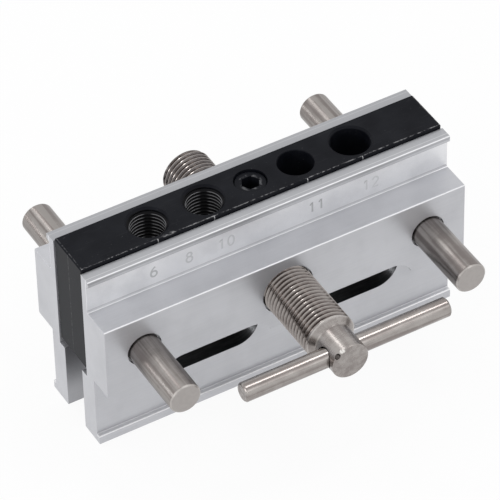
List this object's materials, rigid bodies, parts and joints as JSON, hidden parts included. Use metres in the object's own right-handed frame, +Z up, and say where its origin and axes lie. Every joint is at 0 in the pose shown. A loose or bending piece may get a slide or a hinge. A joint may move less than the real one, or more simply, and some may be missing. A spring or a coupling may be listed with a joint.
{
  "type": "self centering doweling jig",
  "caption": "Self centering doweling jig: a drill guide block with round bores between two jaws that a left and right hand screw moves together.",
  "frame": {"origin": "centre of the block's underside, the face that sits on the edge of the board", "axes": "+X along the jig, -Y towards the handle, +Z up"},
  "size_m": [0.12, 0.1001, 0.064],
  "materials": {
    "aluminium": "satin, clear anodised extrusion",
    "blackened_steel": "black oxide, satin, worn bright along the edges",
    "plated_steel": "nickel plated, turned, glossy"
  },
  "bodies": {
    "block": {"center_block": "blackened_steel", "set_screw": "blackened_steel", "guide_rod_left": "plated_steel", "guide_rod_right": "plated_steel"},
    "screw": {"lead_screw": "plated_steel", "tommy_bar": "plated_steel"},
    "front_jaw": {"front_jaw": "aluminium"},
    "rear_jaw": {"rear_jaw": "aluminium"}
  },
  "joints": [
    {"name": "screw_turn", "type": "hinge", "parent": "block", "child": "screw", "pos_m": [0, 0, 0.01286], "axis": [0, -1, 0], "range_deg": [0, 4440]},
    {"name": "front_jaw_slide", "type": "slide", "parent": "block", "child": "front_jaw", "axis": [0, -1, 0], "range_m": [0, 0.0185]},
    {"name": "rear_jaw_slide", "type": "slide", "parent": "block", "child": "rear_jaw", "axis": [0, 1, 0], "range_m": [0, 0.0185]}
  ],
  "couplings": [
    {"joint": "front_jaw_slide", "follows": "screw_turn", "m_per_rad": 0.00023873},
    {"joint": "rear_jaw_slide", "follows": "screw_turn", "m_per_rad": 0.00023873}
  ]
}
